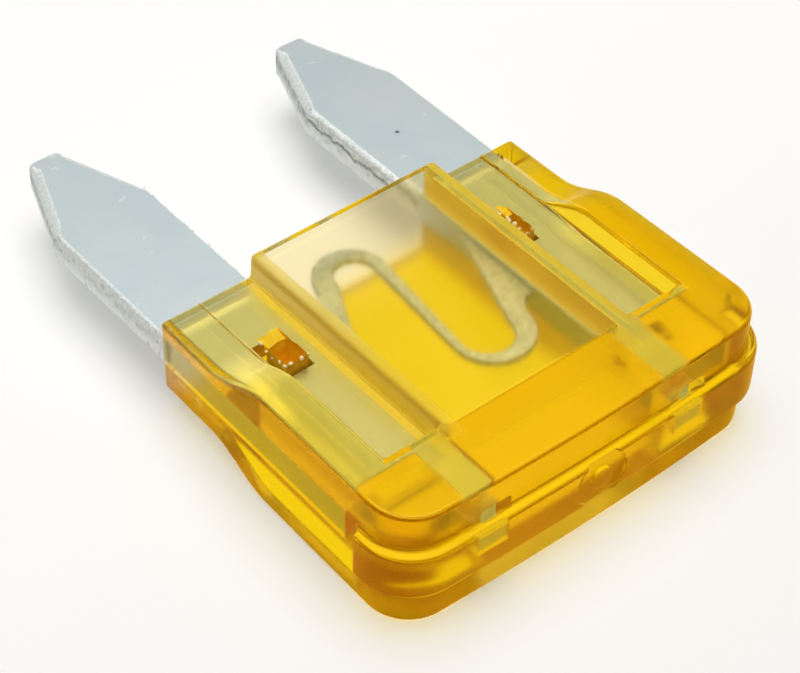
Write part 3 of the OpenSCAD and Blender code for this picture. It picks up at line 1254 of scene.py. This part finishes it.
@dataclass(frozen=True)
class FuseLink:
    """The one-piece zinc stamping: two blades, test tabs, webs and the S-shaped element."""

    blade_w: float = 2.8
    pitch: float = 7.8
    blade_l: float = 7.35
    taper_l: float = 2.65
    tip_w: float = 1.0
    tip_r: float = 0.22
    shoulder: float = 0.3
    shoulder_y: float = 0.04
    inside: float = 6.75
    tab_reach: float = 8.6
    stake_l: float = 1.3
    element_t: float = 0.2
    element_up: float = 0.15
    element_r: float = 0.04
    mouth_loop: Loop = Loop((-0.55, -1.01), 0.97, 0.32)
    head_loop: Loop = Loop((0.89, -4.50), 1.08, 0.22)
    web_near: float = 0.35
    web_h: float = 2.84
    web_notch: float = 0.25
    web_lap: float = 0.05
    step: float = 0.05
    worn_from: float = 0.1
    crack_z: float = 0.12
    crack_wander: float = 0.30
    crack_jag: float = 0.10
    crack_half: float = 0.05
    burr: float = 0.035
    burr_spread: float = 0.025
    sharp: float = 50.0

    @property
    def inner(self) -> float:
        """Distance of a blade's inner edge from the middle."""
        return (self.pitch - self.blade_w) / 2

    @property
    def outer(self) -> float:
        """Distance of a blade's outer edge from the middle."""
        return (self.pitch + self.blade_w) / 2

    @property
    def taper_y(self) -> float:
        """Where the blades begin to taper."""
        return self.blade_l - self.taper_l

    def corners(self) -> list[Point]:
        """The right blade's corners, running round with the metal on the left.

        Returns:
            The corners.
        """
        xm, half, r = self.pitch / 2, self.tip_w / 2, self.tip_r
        end = self.blade_l - r
        arc = [math.radians(a) for a in (0, 30, 60, 90)]
        slot_x = self.outer - self.shoulder
        left, right = FIT.tab_x - FIT.tab_w / 2, FIT.tab_x + FIT.tab_w / 2
        points = [(self.inner, -self.inside), (left, -self.inside), (left, -self.tab_reach),
                  (right, -self.tab_reach), (right, -self.inside), (slot_x, -self.inside),
                  (slot_x, self.shoulder_y), (self.outer, self.shoulder_y),
                  (self.outer, self.taper_y)]
        points += [(xm + half - r + r * math.cos(a), end + r * math.sin(a)) for a in arc]
        points += [(xm - half + r - r * math.sin(a), end + r * math.cos(a)) for a in arc]
        return points + [(self.inner, self.taper_y)]

    def traced(self) -> list[Point]:
        """The right blade's outline as closely spaced points.

        Returns:
            The points.
        """
        corners, made = self.corners(), []
        for (x0, y0), (x1, y1) in zip(corners, corners[1:] + corners[:1]):
            n = max(1, round(math.hypot(x1 - x0, y1 - y0) / self.step))
            made += [(x0 + (x1 - x0) * i / n, y0 + (y1 - y0) * i / n) for i in range(n)]
        return made

    def form(self, x: float, y: float, side: int) -> EdgeForm:
        """How the edge is formed at a place on the outline of one blade, -1 or 1.

        Args:
            x: the distance from the middle.
            y: the place along the blade.
            side: -1 for the left side, 1 for the right one.

        Returns:
            The form.
        """
        if y < self.worn_from:
            return EdgeForm()
        outer = x > self.pitch / 2
        coined = COINED[0 if outer == (side < 0) else 1]
        form = SHEARED[side, outer].toward(coined, (y - self.taper_y + 0.25) / 0.5)
        return form.toward(TIP, (y - self.blade_l + 0.3) / 0.25)

    def crack_depth(self, y: float, z: float, side: int) -> float:
        """How strongly the jagged fracture line cuts in at a place on a sheared wall, 0 to 1.

        Args:
            y: the place along the blade.
            z: the height over the middle of the strip.
            side: -1 for the left side, 1 for the right one.

        Returns:
            The strength.
        """
        wander, jag = (noise.noise(Vector((0, y * often, side * 4.0))) for often in (1.3, 6.0))
        line = self.crack_z - self.crack_wander * abs(wander) + self.crack_jag * jag
        return max(0.0, 1 - abs(z - line) / self.crack_half)

    def ring(self, path: Sequence[Point], side: int, row: int) -> list[Triple]:
        """One closed row of a blade's edge.

        Args:
            path: the outline's points.
            side: -1 for the left blade, 1 for the right one.
            row: the row's number, from the top face down.

        Returns:
            The row's points.
        """
        points, n, flat_row = [], len(path), row in (0, LAST_ROW)
        for i, (x, y) in enumerate(path):
            f = self.form(x, y, side)
            inset, z = f.place(row, FIT.strip_t / 2)
            seed = Vector((x * 5 + side * 9, y * 5, z * 6))
            wobble = noise.noise(seed) * f.rough + noise.noise(seed * 3.1) * f.rough * 0.5
            inset += abs(wobble) if flat_row else wobble + f.rough
            if f.crack and not flat_row:
                inset += f.crack * self.crack_depth(y, z, side)
            (ax, ay), (bx, by) = path[i - 2], path[(i + 2) % n]
            length = math.hypot(bx - ax, by - ay)
            points.append((x - (by - ay) / length * inset, y + (bx - ax) / length * inset,
                           MID_Z + z))
        return points

    def finish(self, row: int, y: float) -> int:
        """Which finish a wall face takes: 0 is rolled, 1 coined and 2 sheared.

        Args:
            row: the row's number, from the top face down.
            y: the place along the blade.

        Returns:
            The finish's number.
        """
        if y > self.worn_from:
            return 1 if row < TOP_ROWS else 2
        return 1 if y < -self.inside else 0

    def blade(self, side: int, finishes: Sequence[Finish]) -> Thing:
        """One blade as a stack of offset outlines, so that its edges carry their own wear.

        Args:
            side: -1 for the left blade, 1 for the right one.
            finishes: the rolled, coined and sheared finishes.

        Returns:
            The blade with its test tab and the hole for its stake.
        """
        path = self.traced()
        n = len(path)
        points = [p for row in range(LAST_ROW + 1) for p in self.ring(path, side, row)]
        spots = [(row * n, i, (i + 1) % n) for row in range(LAST_ROW) for i in range(n)]
        faces = [(start + i, start + n + i, start + n + j, start + j) for start, i, j in spots]
        faces += [tuple(range(n)), tuple(reversed(range(LAST_ROW * n, (LAST_ROW + 1) * n)))]
        kinds = [self.finish(start // n, path[i][1]) for start, i, _ in spots]
        made = from_lists("blade", points, faces)
        coat(made, finishes, kinds)
        if side < 0:
            for vertex in made.data.vertices:
                vertex.co.x = -vertex.co.x
        with edited(made) as shell:
            bmesh.ops.recalc_face_normals(shell, faces=shell.faces)
        (left, right), sy = FIT.holes[side > 0], self.stake_l / 2
        return work(made, Cut.REMOVE, block("hole", (left, -FIT.stake_y - sy, 0),
                                            (right, -FIT.stake_y + sy, TOP_Z)))

    def element(self) -> Thing:
        """The S-shaped element with a web at each end, in one outline.

        Returns:
            The element.
        """
        shape = []
        for loop, turn in ((self.head_loop, 1), (self.mouth_loop, -1)):
            x, y = loop.middle
            edge = self.inner - turn * x
            web = [(edge - self.web_notch, self.web_near), (edge + self.web_lap, self.web_near),
                   (edge + self.web_lap, self.web_near + self.web_h)]
            shape += [(x + turn * u, y + turn * v) for u, v in loop.outline(web)]
        middle, half = MID_Z + self.element_up, self.element_t / 2
        return rounded(prism("element", shape, middle - half, middle + half), self.element_r, 3)

    def burred_edges(self) -> list[tuple[int, list[Triple]]]:
        """The lines along which burrs stand, each with how many there are.

        Returns:
            The number of burrs and the line's two ends, for each line.
        """
        z, y0, y1 = MID_Z + FIT.strip_t / 2, 0.4, self.taper_y
        lines = [(34, self.inner + 0.12, y0, y1, z - 0.04),
                 (16, -self.outer + 0.06, y0, y1, z - 0.04),
                 (22, -self.inner - 0.05, y0, y1 + 0.1, z - 0.02),
                 (3, -self.outer + 0.05, y1 - 0.25, y1 - 0.15, z)]
        return [(count, [(x, start, high), (x, end, high)])
                for count, x, start, end, high in lines]

    def build(self) -> Thing:
        """Makes the stamping.

        Returns:
            The finished stamping.
        """
        finishes = [Zinc(w).material() for w in (Wear.ROLLED, Wear.COINED, Wear.SHEARED)]
        element = self.element()
        coat(element, [Zinc(Wear.MILLED).material()])
        parts = [self.blade(1, finishes), self.blade(-1, finishes), element]
        parts += [Crumbs(count, self.burr, self.burr_spread, count).along(line, finishes[1])
                  for count, line in self.burred_edges()]
        link = smooth(joined("zinc_link", parts), self.sharp)
        seat(link)
        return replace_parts(link, "fuse_link")


# ---- studio


@dataclass(frozen=True)
class Studio:
    """Camera, table and soft light: the target in millimetres, the table and lamp in metres."""

    azimuth: float = -40.445
    elevation: float = 44.255
    roll: float = 1.427
    distance: float = 53.70
    target: Triple = (-0.721, -2.094, 1.8)
    lens: float = 102.49
    sensor: float = 36.0
    clip: Point = (0.001, 20.0)
    table_half: float = 0.8
    table_z: float = -0.00002
    sky: float = 2.50
    sky_side: float = 0.12
    sky_band: Point = (0.82, 0.93)
    lamp_at: Triple = (0.03, 0.04, 0.20)
    lamp_size: float = 0.16
    lamp_power: float = 0.14
    bounces: int = 24
    diffuse_bounces: int = 6

    def camera(self) -> None:
        """Sets up the camera."""
        a, e = math.radians(self.azimuth), math.radians(self.elevation)
        back = Vector((math.sin(a) * math.cos(e), -math.cos(a) * math.cos(e), math.sin(e)))
        right = (-back).cross(Vector((0, 0, 1))).normalized()
        place = Matrix((right, right.cross(-back), back)).transposed().to_4x4()
        place = place @ Matrix.Rotation(math.radians(self.roll), 4, "Z")
        place.translation = (Vector(self.target) + back * self.distance) * MM
        data = bpy.data.cameras.new("camera")
        data.sensor_width, data.lens = self.sensor, self.lens
        data.clip_start, data.clip_end = self.clip
        camera = show("camera", data)
        camera.matrix_world = place
        bpy.context.scene.camera = camera

    def table(self) -> None:
        """Lays the tabletop just under the part."""
        r, z = self.table_half, self.table_z
        corners = [(-r, -r, z), (r, -r, z), (r, r, z), (-r, r, z)]
        floor = from_lists("tabletop", corners, [(0, 1, 2, 3)])
        coat(floor, [Tabletop().material()])

    def lamp(self) -> None:
        """Hangs a square soft lamp over the part, aimed at it."""
        data = bpy.data.lights.new("overhead", "AREA")
        data.shape, data.size, data.energy = "SQUARE", self.lamp_size, self.lamp_power
        lamp = show("overhead", data)
        lamp.location = self.lamp_at
        lamp.rotation_euler = (-Vector(self.lamp_at)).to_track_quat("-Z", "Y").to_euler()

    def light(self) -> None:
        """Lights the part from above: a sky that is bright only near its top."""
        world = bpy.data.worlds.new("sky")
        world.use_nodes = True
        g, sky = Graph(world.node_tree), world.node_tree.nodes["Background"]
        up = g.axis(g.node("TexCoord", out="Generated"), "Z")
        g.feed(sky.inputs["Color"], (1.0, 1.0, 1.0))
        g.feed(sky.inputs["Strength"], up.above(*self.sky_band, self.sky_side, self.sky))
        bpy.context.scene.world = world

    def build(self) -> None:
        """Sets up the whole studio."""
        self.camera()
        self.table()
        self.light()
        self.lamp()
        scene = bpy.context.scene
        scene.view_settings.view_transform = "Standard"
        for kind in ("max", "transmission", "glossy", "transparent_max"):
            setattr(scene.cycles, kind + "_bounces", self.bounces)
        scene.cycles.diffuse_bounces = self.diffuse_bounces


def main() -> None:
    """Builds the part and its studio."""
    logging.basicConfig(level=logging.INFO, format="%(message)s")
    Housing().build()
    FuseLink().build()
    Studio().build()


if __name__ == "__main__":
    main()
